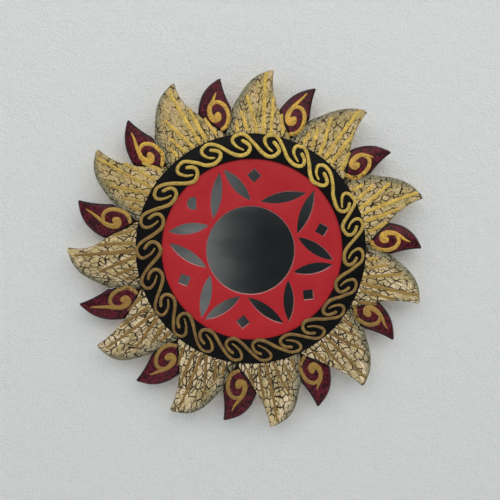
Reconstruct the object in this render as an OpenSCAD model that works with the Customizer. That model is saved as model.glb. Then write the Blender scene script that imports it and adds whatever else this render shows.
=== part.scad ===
// Sun-ray wall mirror: carved and painted wooden rays on a plywood ring, round a black
// band that holds a pierced red panel over a round mirror glass.
// The wall is the plane y = 0, the front faces -Y and +Z is up. The origin is the
// middle of the mirror, on the wall.

/* [Gold rays] */
// Number of gold rays; a burgundy ray stands between each two
ray_pairs = 11; // [9:1:12]
// Length of a gold ray, from the black band to its tip
gold_l = 45.9; // [36:0.1:60]
// Width of a gold ray's blunt tip
gold_tip_w = 2.6; // [0.6:0.2:3]
// Thickness of a gold ray at its ridge
gold_t = 8; // [6:0.5:14]
// Radius of the crown across a gold ray
gold_crown_r = 110; // [60:5:160]
// Bulge of a gold ray's rounded side
gold_back_rise = 5.6; // [3:0.1:6]
// How much fuller that bulge is towards the tip
gold_back_lean = 0.4; // [0:0.1:0.6]
// Hollow of a gold ray's other side
gold_front_rise = 2; // [0.6:0.2:2.6]

/* [Burgundy rays] */
// Distance from the black band to a burgundy ray's tip
burgundy_l = 41.5; // [32:0.5:52]
// Width of a burgundy ray's blunt tip
burgundy_tip_w = 1.6; // [0.6:0.2:2.4]
// Thickness of a burgundy ray at its ridge
burgundy_t = 7.5; // [6:0.5:13]
// Radius of the crown across a burgundy ray
burgundy_crown_r = 34; // [28:1:80]
// Distance from the black band to a burgundy ray's foot, wedged between two gold rays
foot_lift = 2.9; // [1.5:0.1:5]
// Distance of that foot to the side of the ray's tip line
foot_side = 2.9; // [1:0.1:4]
// Distance from the black band to a burgundy ray's widest place
belly_l = 20.8; // [17.6:0.2:22]
// Width of a burgundy ray from the line of its tip to its rounded side
belly_back_w = 18.8; // [16:0.2:20]
// Width of a burgundy ray from the line of its tip to its hollow side
belly_front_w = 4.4; // [2.5:0.1:5]
// How much nearer the middle the widest place lies on the rounded side
belly_slant = 1.8; // [0:0.2:3]
// Bulge of a burgundy ray's rounded side
burgundy_back_rise = 4.4; // [2.6:0.2:5]
// Hollow of a burgundy ray's other side
burgundy_front_rise = 0.8; // [0:0.2:1.2]
// Bulge of the two sides that meet at its foot
foot_rise = 0.8; // [0.2:0.2:1.4]
// Gap of the glued seams between rays
seam = 0.3; // [0.1:0.05:0.6]

/* [Rings] */
// Outer radius of the black band
band_outer_r = 80; // [70:0.5:90]
// Width of the black band's front
band_w = 17; // [15:0.5:19]
// Width of the glued joint between the black band and the plywood ring behind it
band_lap = 5; // [4:0.5:7]
// How far the plywood ring, which carries the rays, reaches out past the black band
carrier_rim_w = 12; // [10.5:0.5:16]
// Width of the step behind the black band's lip, for the panel and the glass
rebate_w = 5; // [3:0.5:6]
// Thickness of the lip in front of the panel
lip_t = 1; // [0.5:0.25:4]

/* [Panel, glass and back] */
// Thickness of the pierced panel
panel_t = 3; // [2:0.5:4]
// Radius of the panel's round window
window_r = 31; // [26:0.5:32]
// Width of the panel's rim between the black band and the leaf-shaped cuts
petal_rim_w = 4.8; // [3.8:0.2:8]
// Width of the wood between the round window and the leaf-shaped cuts
window_rim_w = 2.8; // [2.4:0.2:7]
// Width of a leaf-shaped cut
petal_w = 7.6; // [5:0.2:9]
// Side of a small square cut
square_w = 7.2; // [5:0.2:8]
// Distance from the black band to the middle of a small square cut
square_inset = 11.6; // [10:0.2:13]
// Thickness of the mirror glass
glass_t = 3; // [2:0.5:4]
// Thickness of the backboard
board_t = 4; // [3.5:0.5:6]
// Spare depth of the recess behind the backboard, past the hanger's strap
recess_spare = 0.3; // [0.1:0.1:4]
// Radial gap round the panel, the glass and the backboard
fit_gap = 0.4; // [0.2:0.1:0.8]

/* [Hanger] */
// Distance from the backboard's top edge down to the hanger's hinge line
hinge_drop = 22.6; // [19:0.2:34]
// Radius of the hanger ring's wire
wire_r = 1; // [0.8:0.05:1.1]
// Play of the strap along the hanger ring's straight bar, at each side
bar_play = 1.5; // [0.5:0.25:4]
// Length of the hanger ring's straight legs
leg_l = 2; // [1:0.5:4]
// Bend radius at the hanger ring's corners, to the middle of the wire
corner_r = 1.5; // [1.3:0.1:2]
// Width of the hanger strap
strap_w = 10; // [8:0.5:11]
// Distance between the strap's screws, and from its first screw to the hinge line
strap_screw_gap = 7; // [6:0.5:10]
// Length of the strap past its last screw
strap_end_l = 4; // [3:0.5:8]
// Thickness of the strap's metal
strap_t = 0.8; // [0.5:0.1:0.9]
// Running gap between the wire and the strap's loop
wire_gap = 0.05; // [0.02:0.01:0.1]

/* [Screws] */
// Radius of a screw's shank
shank_r = 1.2; // [0.9:0.1:1.3]
// Radius of a screw's head
head_r = 2.2; // [1.8:0.1:2.4]
// Height of a screw's head
head_h = 1.3; // [1:0.1:1.6]
// Wood left in front of the screws in the thinner rays
ray_screw_cover = 3.2; // [2:0.2:4]
// Wood left in front of the backboard's screws in the black band
board_screw_cover = 2.5; // [1.5:0.25:3]
// Number of screws that hold the backboard
board_screws_n = 6; // [4:1:10]
// Depth that the hanger's screws reach into the backboard
hanger_screw_bite = 3; // [2:0.25:3.25]
// Gap round a screw's shank in its hole
shank_gap = 0.1; // [0.05:0.05:0.2]

/* [Hidden] */
$fn = 96;
bow_steps = 8;
cut_over = 1;

// Hanger: the ring's wire runs through the strap's loop, and both fit in the recess
loop_gap_r = wire_r + wire_gap;
loop_r = loop_gap_r + strap_t;
bow_r = strap_w / 2 + bar_play + corner_r;
strap_screws_n = 2;
strap_l = strap_screws_n * strap_screw_gap + strap_end_l;

// Layers, as distances from the wall
board_z = 2 * loop_r + recess_spare;
carrier_t = board_z + board_t;
glass_z = carrier_t;
panel_z = glass_z + glass_t;
lip_z = panel_z + panel_t;
band_front_z = lip_z + lip_t;

// Radii that follow from the black band's
gold_reach = band_outer_r + gold_l;
burgundy_reach = band_outer_r + burgundy_l;
foot_r = band_outer_r + foot_lift;
belly_r = band_outer_r + belly_l;
carrier_outer_r = band_outer_r + carrier_rim_w;
carrier_inner_r = band_outer_r - band_lap;
band_inner_r = band_outer_r - band_w;
rebate_r = band_inner_r + rebate_w;
board_r = carrier_inner_r - fit_gap;
board_screw_r = (rebate_r + board_r) / 2;
petal_outer_r = band_inner_r - petal_rim_w;
petal_inner_r = window_r + window_rim_w;
square_r = band_inner_r - square_inset;

// Spacing of the rays: the first gold ray stands a little right of the top, and the
// rest follow clockwise; each burgundy ray is about halfway to the gold ray before it
pitch = 360 / ray_pairs;
first_gold_angle = 82;
burgundy_lead_share = 0.538;
burgundy_lead = burgundy_lead_share * pitch;

// How far each hand-set ray turns from its even place, in degrees, and reaches past
// or short of the usual length, in millimetres; clockwise from the first. Its rounded
// side bulges, its other side is hollow, and its widest place lies further out by that
// much too, and the front end of that place by a little more or less
gold_turn = [1.3, 1, 0.4, -1.4, -1.4, -1.6, -1.8, -0.4, 0, 0.1, 0.9];
gold_extra = [-1, -1, -0.6, -1.9, -1.5, 0, 0.8, 1.2, 1.8, 1.1, 0.7];
gold_back_extra = [-0.7, -1.9, -0.7, 0.4, -0.8, 0.9, 1.6, 1.8, 0.3, 0.5, -0.6];
gold_front_extra = [0.4, 0, 0.4, -0.4, -0.6, -0.6, -0.6, -0.6, 1.4, 0.4, 1];
burgundy_turn = [1, 1.4, 0.7, -0.9, -1.1, -2.8, -2.1, -1.4, 0.2, -0.6, 1.5];
burgundy_extra = [-1.5, -1.6, -3, -2.2, -3, -1, 0.3, 0.7, 4.1, 3, 1.9];
burgundy_back_extra = [0.1, -0.8, -0.6, 0.3, -0.9, 0, 0.8, 0.4, 0.4, 0.6, -0.5];
belly_extra = [0.3, -1.8, -2.4, -1.8, -2.8, -0.6, 1.4, 1, 0.6, 2, 0];
belly_front_extra = [-2, 0.5, 0.3, -0.6, 0, 1, -0.8, 0, 2.5, -1.6, 2.5];

// How far the band's round opening and the panel's window were cut off the middle
lip_shift = [0.7, -0.3];
window_shift = [-0.4, -0.9];

// How far the ends of each hand-sawn leaf-shaped cut lie from an even star
star_pairs = 6;
star_pitch = 360 / star_pairs;
star_angle = 112;
outer_half_gap = 1.8;
inner_half_gap = 5;
petal_outer_turn = [-1.4, -1.4, -8.2, -7.2, -1.5, -1, 3.8, 3.3, 3, 4, 2.1, -2.1];
petal_outer_extra = [-0.6, 0.5, -3.2, 2.3, 0, 0.2, -0.4, -0.8, 1.1, 1.3, -0.7, 0.7];
petal_inner_turn = [4.4, 3.4, 2, -9, -2.9, 4.3, 3.3, -0.9, 0.4, 5.3, 5.4, 4.1];
square_turn = [5.6, -6.6, -0.6, 1.7, 2.8, -0.4];
half_round = 5;
half_round_d = 1.25 * square_w;
half_round_flat = 0.3 * square_w;

// Places of the hanger's hinge line and strap
hinge_h = board_r - hinge_drop;
hinge_z = board_z - loop_r;
strap_z = board_z - strap_t;

// Screws; the rays' screws start in the plywood ring, and each ray's lies beside the
// line of its tip, a gold one's amid the ring's rim and a burgundy one's near its edge
hole_r = shank_r + shank_gap;
sunk_z = 0.3;
ray_screw_l = carrier_t + min(gold_t, burgundy_t) - ray_screw_cover - sunk_z;
board_screw_l = band_front_z - board_screw_cover - board_z;
screw_edge_gap = 1.2;
gold_screw_side = 5;
burgundy_screw_side = foot_side + 1.5;
gold_screw = [gold_screw_side, (band_outer_r + carrier_outer_r) / 2];
burgundy_screw = [burgundy_screw_side, carrier_outer_r - screw_edge_gap - head_r - shank_gap];

// Ridge of each kind of ray, to the side of its tip line, at its base and at its tip
gold_ridge_side = [3, 1];
burgundy_ridge_side = [5.5, 2];
ridge_fall = 2;

function two_digits(n) = n < 10 ? str("0", n) : str(n);
function ray_names(colour) = [for (i = [1:ray_pairs]) str(colour, "_ray_", two_digits(i))];

// Value of a list that runs round and round
function nth(values, i) = values[(i + len(values)) % len(values)];

// Value of a hand-set list for ray number i, where the ray after the last is the first
function hand_set(values, i) = nth(values, i % ray_pairs);

function gold_angle(i) = first_gold_angle - pitch * i + hand_set(gold_turn, i);
function burgundy_angle(i) = first_gold_angle - pitch * i + burgundy_lead + hand_set(burgundy_turn, i);

// Point of the plan at an angle and a radius
function polar(angle, r) = [r * cos(angle), r * sin(angle)];

// Point of the plan from a ray's own frame: p.x to the side of its rounded back, p.y outwards
function from_ray(angle, p) = polar(angle, p.y) + polar(angle + 90, p.x);

function between(p, q, share) = p + share * (q - p);

// Points from p to q along a bow that rises to the right of the way, without q itself;
// with a lean it is fuller near p
function bow(p, q, rise, lean = 0) = [
    for (step = [0:bow_steps - 1])
        let (t = step / bow_steps, way = (q - p) / norm(q - p))
            p + t * (q - p) + 4 * rise * t * (1 - t) * (1 + lean * (1 - 2 * t)) * [way.y, -way.x]
];

// Outline moved outwards by a gap, for an outline that runs counter-clockwise
function outset(points, gap) = [
    for (i = [0:len(points) - 1])
        let (across = nth(points, i + 1) - nth(points, i - 1), way = across / norm(across))
            points[i] + gap * [way.y, -way.x]
];

// Corners of a burgundy ray, whose tip has a back and a front corner, at side 1 and -1;
// a ray whose widest place lies further out is wider there too
widening = 0.7;
function burgundy_point(i, side, r) = from_ray(burgundy_angle(i), [side, r]);
function burgundy_tip(i, side) =
    burgundy_point(i, side * burgundy_tip_w / 2, burgundy_reach + hand_set(burgundy_extra, i));
function burgundy_back(i) =
    let (extra = hand_set(belly_extra, i))
        burgundy_point(i, belly_back_w + widening * extra, belly_r - belly_slant + extra);
function burgundy_front(i) =
    let (extra = hand_set(belly_extra, i) + hand_set(belly_front_extra, i))
        burgundy_point(i, -belly_front_w, belly_r + extra);
function burgundy_foot(i) = burgundy_point(i, foot_side, foot_r);

// Outline of a burgundy ray, counter-clockwise from its tip
function burgundy_outline(i) = concat(
    bow(
        burgundy_tip(i, 1),
        burgundy_back(i),
        burgundy_back_rise + hand_set(burgundy_back_extra, i)
    ),
    bow(burgundy_back(i), burgundy_foot(i), foot_rise),
    bow(burgundy_foot(i), burgundy_front(i), foot_rise),
    bow(burgundy_front(i), burgundy_tip(i, -1), -burgundy_front_rise),
    [burgundy_tip(i, -1)]
);

function gold_tip(i, side) =
    from_ray(gold_angle(i), [side * gold_tip_w / 2, gold_reach + hand_set(gold_extra, i)]);

// Notches where a gold ray's free sides start, just inside the burgundy rays beside it
back_notch_share = 0.05;
front_notch_share = 0.1;
function back_notch(i) = between(burgundy_front(i), burgundy_foot(i), back_notch_share);
function front_notch(i) =
    between(burgundy_back(i + 1), burgundy_foot(i + 1), front_notch_share);

// Angle of the seam under a burgundy ray's foot, where two gold rays meet; it starts
// within that ray, so that no sliver is left between them
seam_start_r = foot_r + 1;
function seam_angle(i) = burgundy_angle(i) + atan(foot_side / foot_r);
half_seam_angle = atan(seam / 2 / band_outer_r);

// Outline of a gold ray, counter-clockwise from its tip; the stretches from each notch
// to the seams run under the burgundy rays beside it, which are cut away
function gold_outline(i) = concat(
    bow(
        gold_tip(i, 1),
        back_notch(i),
        gold_back_rise + hand_set(gold_back_extra, i),
        gold_back_lean
    ),
    [
        back_notch(i),
        polar(seam_angle(i) - half_seam_angle, seam_start_r),
        polar(seam_angle(i) - half_seam_angle, band_outer_r - cut_over),
        polar(seam_angle(i + 1) + half_seam_angle, band_outer_r - cut_over),
        polar(seam_angle(i + 1) + half_seam_angle, seam_start_r)
    ],
    bow(front_notch(i), gold_tip(i, -1), -gold_front_rise - hand_set(gold_front_extra, i)),
    [gold_tip(i, -1)]
);

// Turns the plan upright: its x stays, its y becomes the height, and its z becomes the
// distance from the wall
module upright() {
    rotate([90, 0, 0])
    children();
}

// Everything below a crown whose ridge runs over two points of the plan, and on past
// them, and falls a little towards the tip
module under_crown(from, to, crown_r, top_z) {
    lap = crown_r / 4;
    way = to - from;
    translate([from.x, from.y, top_z - crown_r])
    rotate([0, 90 + ridge_fall, atan2(way.y, way.x)])
    translate([0, 0, -lap])
    cylinder(h = norm(way) + 2 * lap, r = crown_r);
}

module ray_pilot(place) {
    translate([place.x, place.y, 0])
    cylinder(h = sunk_z + ray_screw_l + shank_gap, r = hole_r);
}

module gold_ray(i) {
    angle = gold_angle(i);
    color("wheat")
    upright()
    difference() {
        intersection() {
            translate([0, 0, carrier_t])
            linear_extrude(gold_t)
            difference() {
                polygon(gold_outline(i));
                polygon(outset(burgundy_outline(i), seam));
                polygon(outset(burgundy_outline(i + 1), seam));
                circle(r = band_outer_r + seam);
            }
            under_crown(
                from_ray(angle, [gold_ridge_side[0], band_outer_r]),
                from_ray(angle, [gold_ridge_side[1], gold_reach]),
                gold_crown_r,
                carrier_t + gold_t
            );
        }
        ray_pilot(from_ray(angle, gold_screw));
    }
}

module burgundy_ray(i) {
    angle = burgundy_angle(i);
    color("maroon")
    upright()
    difference() {
        intersection() {
            translate([0, 0, carrier_t])
            linear_extrude(burgundy_t)
            polygon(burgundy_outline(i));
            under_crown(
                from_ray(angle, [burgundy_ridge_side[0], foot_r]),
                from_ray(angle, [burgundy_ridge_side[1], burgundy_reach]),
                burgundy_crown_r,
                carrier_t + burgundy_t
            );
        }
        ray_pilot(from_ray(angle, burgundy_screw));
    }
}

// A countersunk screw with its head's face at z = 0, pointing up
module sunk_screw(length) {
    cylinder(h = head_h, r1 = head_r, r2 = shank_r);
    cylinder(h = length, r = shank_r);
}

// Hole for that screw in a board, open at the board's rear
module sunk_hole(depth) {
    translate([0, 0, -sunk_z - cut_over])
    cylinder(h = sunk_z + cut_over, r = head_r + shank_gap);
    cylinder(h = head_h, r1 = head_r + shank_gap, r2 = hole_r);
    cylinder(h = depth, r = hole_r);
}

function ray_screw_places(i) = [
    from_ray(gold_angle(i), gold_screw),
    from_ray(burgundy_angle(i), burgundy_screw)
];

// Copies its child at each ray's screw, behind the ring
module at_ray_screws() {
    for (i = [0:ray_pairs - 1]) {
        for (place = ray_screw_places(i)) {
            translate([place.x, place.y, sunk_z])
            children();
        }
    }
}

module at_board_screws() {
    for (i = [0:board_screws_n - 1]) {
        rotate(360 * (i + 0.5) / board_screws_n)
        translate([board_screw_r, 0, 0])
        children();
    }
}

module at_hanger_screws() {
    for (k = [1:strap_screws_n]) {
        translate([0, hinge_h - k * strap_screw_gap, 0])
        children();
    }
}

// Plywood ring that carries the rays in front and makes the recess behind
module carrier_ring() {
    color("burlywood")
    upright()
    difference() {
        cylinder(h = carrier_t, r = carrier_outer_r);
        translate([0, 0, -cut_over])
        cylinder(h = carrier_t + 2 * cut_over, r = carrier_inner_r);
        at_ray_screws()
        sunk_hole(carrier_t + cut_over);
    }
}

// Black band: its rear step holds the panel and the glass, and its rear face the board
module band_ring() {
    color("black")
    upright()
    difference() {
        translate([0, 0, carrier_t])
        cylinder(h = band_front_z - carrier_t, r = band_outer_r);
        translate([0, 0, carrier_t - cut_over])
        cylinder(h = lip_z - carrier_t + cut_over, r = rebate_r);
        translate([lip_shift.x, lip_shift.y, carrier_t - cut_over])
        cylinder(h = band_front_z - carrier_t + 2 * cut_over, r = band_inner_r);
        at_board_screws()
        translate([0, 0, board_z])
        cylinder(h = board_screw_l + shank_gap, r = hole_r);
    }
}

// Leaf-shaped cut between two points: two equal arcs that meet in points
module petal(from, to) {
    half_l = norm(to - from) / 2;
    arc_r = (half_l * half_l + petal_w * petal_w / 4) / petal_w;
    middle = between(from, to, 0.5);
    way = to - from;
    translate(middle)
    rotate(atan2(way.y, way.x))
    intersection() {
        translate([0, arc_r - petal_w / 2])
        circle(r = arc_r);
        translate([0, petal_w / 2 - arc_r])
        circle(r = arc_r);
    }
}

// Small cut between two petals: a square on its corner, or one that was sawn half round
module small_cut(i) {
    angle = star_angle - star_pitch * (i + 0.5) + square_turn[i];
    translate(polar(angle, square_r))
    if (i == half_round) {
        difference() {
            circle(d = half_round_d);
            translate([half_round_flat, -half_round_d])
            square(2 * half_round_d);
        }
    } else {
        rotate(angle + 45)
        square(square_w, center = true);
    }
}

module star_of_cuts() {
    for (j = [0:2 * star_pairs - 1]) {
        k = floor(j / 2);
        side = j % 2 == 0 ? 1 : -1;
        spoke = star_angle - k * star_pitch;
        outer_angle = spoke + side * outer_half_gap + petal_outer_turn[j];
        inner_angle = spoke + side * (star_pitch / 2 - inner_half_gap) + petal_inner_turn[j];
        petal(
            polar(outer_angle, petal_outer_r + petal_outer_extra[j]),
            polar(inner_angle, petal_inner_r)
        );
    }
    for (i = [0:star_pairs - 1]) {
        small_cut(i);
    }
}

// Red panel, sawn through in a star of petals, over the glass
module fret_panel() {
    color("firebrick")
    upright()
    translate([0, 0, panel_z])
    linear_extrude(panel_t)
    difference() {
        circle(r = rebate_r - fit_gap);
        translate(window_shift)
        circle(r = window_r);
        star_of_cuts();
    }
}

module mirror_glass() {
    color("lightsteelblue")
    upright()
    translate([0, 0, glass_z])
    cylinder(h = glass_t, r = rebate_r - fit_gap);
}

// Board that closes the back, on the band's rear face inside the plywood ring
module backboard() {
    color("peru")
    upright()
    difference() {
        translate([0, 0, board_z])
        cylinder(h = board_t, r = board_r);
        at_board_screws()
        translate([0, 0, board_z - cut_over])
        cylinder(h = board_t + 2 * cut_over, r = hole_r);
        at_hanger_screws()
        translate([0, 0, board_z - cut_over])
        cylinder(h = hanger_screw_bite + shank_gap + cut_over, r = hole_r);
    }
}

// A round-headed screw whose head sits on a face at z = 0, with its shank upwards
module round_screw(length) {
    translate([0, 0, -head_h])
    cylinder(h = head_h, r = head_r);
    translate([0, 0, -head_h / 2])
    cylinder(h = length + head_h / 2, r = shank_r);
}

module board_screws() {
    color("silver")
    upright()
    at_board_screws()
    translate([0, 0, board_z])
    round_screw(board_screw_l);
}

module ray_screws() {
    color("silver")
    upright()
    at_ray_screws()
    sunk_screw(ray_screw_l);
}

// Strap folded round the ring's straight bar and lying on the backboard
module hanger_strap() {
    color("darkgoldenrod")
    upright()
    difference() {
        union() {
            translate([-strap_w / 2, hinge_h, hinge_z])
            rotate([0, 90, 0])
            cylinder(h = strap_w, r = loop_r);
            translate([-strap_w / 2, hinge_h - strap_l, strap_z])
            cube([strap_w, strap_l, strap_t]);
        }
        translate([-strap_w / 2 - cut_over, hinge_h, hinge_z])
        rotate([0, 90, 0])
        cylinder(h = strap_w + 2 * cut_over, r = loop_gap_r);
        at_hanger_screws()
        translate([0, 0, strap_z - cut_over])
        cylinder(h = strap_t + 2 * cut_over, r = hole_r);
    }
}

// Straight piece of wire between two points of the plan
module wire(from, to) {
    way = to - from;
    translate(from)
    rotate([-90, 0, atan2(way.y, way.x) - 90])
    cylinder(h = norm(way), r = wire_r);
}

// Bent piece of wire round a point of the plan
module bent_wire(middle, bend_r, start, sweep) {
    translate(middle)
    rotate(start)
    rotate_extrude(angle = sweep)
    translate([bend_r, 0])
    circle(r = wire_r);
}

// D-shaped ring that the nail holds, turning on its straight bar
module hanger_ring() {
    corner_h = hinge_h + corner_r;
    leg_top_h = corner_h + leg_l;
    bar_half = bow_r - corner_r;
    color("gold")
    upright()
    translate([0, 0, hinge_z]) {
        wire([-bar_half, hinge_h], [bar_half, hinge_h]);
        bent_wire([bar_half, corner_h], corner_r, -90, 90);
        bent_wire([-bar_half, corner_h], corner_r, 180, 90);
        wire([bow_r, corner_h], [bow_r, leg_top_h]);
        wire([-bow_r, corner_h], [-bow_r, leg_top_h]);
        bent_wire([0, leg_top_h], bow_r, 0, 180);
    }
}

module hanger_screws() {
    color("silver")
    upright()
    at_hanger_screws()
    translate([0, 0, strap_z])
    round_screw(strap_t + hanger_screw_bite);
}

carrier_ring();
band_ring();
fret_panel();
mirror_glass();
backboard();
board_screws();
ray_screws();
hanger_strap();
hanger_ring();
hanger_screws();
for (i = [0:ray_pairs - 1]) {
    gold_ray(i);
    burgundy_ray(i);
}
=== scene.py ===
import math
import random

import bmesh
import bpy
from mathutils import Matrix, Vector, noise
from mathutils.bvhtree import BVHTree


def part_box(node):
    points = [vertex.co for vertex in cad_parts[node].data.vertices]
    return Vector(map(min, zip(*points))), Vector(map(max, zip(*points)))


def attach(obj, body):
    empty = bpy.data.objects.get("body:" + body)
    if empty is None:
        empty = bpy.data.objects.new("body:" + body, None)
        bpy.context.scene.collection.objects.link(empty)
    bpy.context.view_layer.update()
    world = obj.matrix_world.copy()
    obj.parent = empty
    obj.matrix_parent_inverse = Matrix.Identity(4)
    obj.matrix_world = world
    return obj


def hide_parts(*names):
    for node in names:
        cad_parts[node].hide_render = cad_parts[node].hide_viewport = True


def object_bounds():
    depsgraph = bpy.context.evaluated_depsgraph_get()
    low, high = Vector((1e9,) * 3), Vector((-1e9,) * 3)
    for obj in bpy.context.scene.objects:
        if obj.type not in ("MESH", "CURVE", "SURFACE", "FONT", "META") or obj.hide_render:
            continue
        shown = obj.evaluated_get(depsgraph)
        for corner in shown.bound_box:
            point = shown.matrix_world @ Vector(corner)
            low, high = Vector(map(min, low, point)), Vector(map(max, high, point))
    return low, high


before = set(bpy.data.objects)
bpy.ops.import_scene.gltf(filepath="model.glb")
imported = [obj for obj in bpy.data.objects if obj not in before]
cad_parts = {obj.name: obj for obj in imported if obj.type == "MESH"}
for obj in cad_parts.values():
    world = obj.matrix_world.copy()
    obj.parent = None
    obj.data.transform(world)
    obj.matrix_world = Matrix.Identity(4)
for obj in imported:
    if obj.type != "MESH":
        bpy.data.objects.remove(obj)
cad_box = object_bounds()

# The plywood ring: birch plywood, sawn round and open in the middle. It lies flat on the
# wall and carries the rays and the black band, which are glued and screwed on from behind.
MM = 0.001


def screen_colour(red, green, blue):
    """A colour as it looks on a screen, turned into the values that a shader takes."""
    return tuple(c / 12.92 if c < 0.04045 else ((c + 0.055) / 1.055) ** 2.4
                 for c in (red, green, blue))


def feed(tree, socket, value):
    """Links a value to a socket, or sets it there when it is a number or a colour."""
    if isinstance(value, bpy.types.NodeSocket):
        tree.links.new(value, socket)
    elif isinstance(value, tuple) and socket.type == "RGBA":
        socket.default_value = (*value, 1.0)
    else:
        socket.default_value = value


def add_node(tree, kind, inputs=None, **settings):
    node = tree.nodes.new("ShaderNode" + kind)
    for name, value in settings.items():
        setattr(node, name, value)
    for name, value in (inputs or {}).items():
        feed(tree, node.inputs[name], value)
    return node


def maths(tree, operation, first, second=0.0):
    node = add_node(tree, "Math", operation=operation)
    feed(tree, node.inputs[0], first)
    feed(tree, node.inputs[1], second)
    return node.outputs[0]


def soft_step(tree, value, start, end, low=0.0, high=1.0):
    """Goes smoothly from low, where the value is at start, to high, where it is at end."""
    node = add_node(tree, "MapRange", interpolation_type="SMOOTHSTEP")
    for place, number in enumerate((value, start, end, low, high)):
        feed(tree, node.inputs[place], number)
    return node.outputs[0]


def mix_lights(tree, share, first, second):
    """Mixes two colours, given as sockets or as the values that a shader takes."""
    node = add_node(tree, "Mix", data_type="RGBA")
    feed(tree, node.inputs[0], share)
    feed(tree, node.inputs[6], first)
    feed(tree, node.inputs[7], second)
    return node.outputs[2]


def mix_colours(tree, share, first, second):
    """Mixes two colours, given as sockets or as they look on a screen."""
    seen = [screen_colour(*c) if isinstance(c, tuple) else c for c in (first, second)]
    return mix_lights(tree, share, *seen)


def tinted(tree, colour, mask, strength, tint):
    """A colour with a tint laid over it, up to a strength, where a mask from 0 to 1 is."""
    return mix_colours(tree, maths(tree, "MULTIPLY", mask, strength), colour, tint)


def stretched(tree, place, x, y, z):
    """The same place with each direction multiplied, so that a pattern gets finer there."""
    node = add_node(tree, "Mapping", {"Vector": place, "Scale": Vector((x, y, z))})
    return node.outputs[0]


def cloudy(tree, place, scale, detail=3.0, roughness=0.5):
    """Soft random clouds from 0 to 1."""
    inputs = {"Vector": place, "Scale": scale, "Detail": detail, "Roughness": roughness}
    return add_node(tree, "TexNoise", inputs).outputs["Fac"]


def start_material(name):
    """A new material: its node tree, its shader, and places on the object in millimetres."""
    material = bpy.data.materials.new(name)
    material.use_nodes = True
    tree = material.node_tree
    shader = tree.nodes["Principled BSDF"]
    place = stretched(tree, add_node(tree, "TexCoord").outputs["Object"], 1 / MM, 1 / MM, 1 / MM)
    return material, tree, shader, place


def relief(tree, shader, height, depth):
    """Raises the surface by up to a depth in metres where the height is 1."""
    bump = add_node(tree, "Bump", {"Height": height, "Distance": depth, "Strength": 1.0})
    feed(tree, shader.inputs["Normal"], bump.outputs["Normal"])


def cut_face(tree):
    """1 on faces that look sideways, such as sawn edges, and 0 on front and rear faces."""
    normal = add_node(tree, "TexCoord").outputs["Normal"]
    depth = add_node(tree, "SeparateXYZ", {"Vector": normal}).outputs["Y"]
    return soft_step(tree, maths(tree, "ABSOLUTE", depth), 0.8, 0.5)


def give_material(piece, material):
    piece.data.materials.clear()
    piece.data.materials.append(material)


plywood, tree, shader, place = start_material("plywood")
grain = cloudy(tree, stretched(tree, place, 0.05, 0.4, 0.9), 1.0, 6.0, 0.6)
pores = soft_step(tree, cloudy(tree, stretched(tree, place, 0.25, 1.0, 5.0), 1.0), 0.6, 0.75)
face_tone = mix_colours(tree, grain, (0.83, 0.69, 0.50), (0.72, 0.56, 0.37))
face_tone = tinted(tree, face_tone, pores, 0.35, (0.50, 0.36, 0.22))
PLY_T = 1.6
depth = add_node(tree, "SeparateXYZ", {"Vector": place}).outputs["Y"]
layer = maths(tree, "PINGPONG", depth, PLY_T)
fibres = cloudy(tree, stretched(tree, place, 0.9, 3.0, 0.9), 1.0, 4.0)
veneers = soft_step(tree, layer, 0.6, 1.0)
edge_tone = mix_colours(tree, veneers, (0.58, 0.42, 0.27), (0.80, 0.66, 0.47))
edge_tone = tinted(tree, edge_tone, fibres, 0.5, (0.52, 0.37, 0.24))
feed(tree, shader.inputs["Base Color"], mix_colours(tree, cut_face(tree), face_tone, edge_tone))
shader.inputs["Roughness"].default_value = 0.65
relief(tree, shader, grain, 0.15 * MM)
give_material(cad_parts["carrier_ring"], plywood)

# The backboard and the screws: brown hardboard closes the back, on the black band's rear
# face. Zinc-plated screws hold it to the band, and others hold each ray to the ring.
hardboard, tree, shader, place = start_material("hardboard")
fibres = cloudy(tree, stretched(tree, place, 1.6, 1.6, 0.7), 1.0, 5.0, 0.65)
stains = cloudy(tree, place, 0.03, 2.0)
board_tone = mix_colours(tree, fibres, (0.36, 0.25, 0.16), (0.56, 0.42, 0.28))
board_tone = tinted(tree, board_tone, stains, 0.3, (0.40, 0.30, 0.22))
feed(tree, shader.inputs["Base Color"], board_tone)
shader.inputs["Roughness"].default_value = 0.6
relief(tree, shader, fibres, 0.1 * MM)
give_material(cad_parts["backboard"], hardboard)

zinc, tree, shader, place = start_material("zinc_plate")
bloom = cloudy(tree, place, 0.8, 4.0)
feed(tree, shader.inputs["Base Color"],
     mix_colours(tree, bloom, (0.78, 0.78, 0.76), (0.62, 0.63, 0.64)))
feed(tree, shader.inputs["Roughness"], soft_step(tree, bloom, 0.3, 0.7, 0.28, 0.5))
shader.inputs["Metallic"].default_value = 1.0
for name in ("board_screws", "ray_screws", "hanger_screws"):
    give_material(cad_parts[name], zinc)

# The hanger: a brass-plated steel strap, folded round the straight bar of a D-shaped ring
# and screwed to the backboard. The ring swings up over the nail.
brass, tree, shader, place = start_material("brass_plate")
tarnish = cloudy(tree, place, 0.35, 5.0)
feed(tree, shader.inputs["Base Color"],
     mix_colours(tree, tarnish, (0.86, 0.72, 0.42), (0.66, 0.50, 0.27)))
feed(tree, shader.inputs["Roughness"], soft_step(tree, tarnish, 0.3, 0.7, 0.25, 0.45))
shader.inputs["Metallic"].default_value = 1.0
for name in ("hanger_strap", "hanger_ring"):
    give_material(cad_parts[name], brass)

# The black band: a turned wooden ring in satin black paint. A step behind its lip holds the
# panel and the glass, and its edges are sanded round before it is painted.
FRONT = {name: -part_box(name)[0].y / MM for name in ("band_ring", "fret_panel")}


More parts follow.
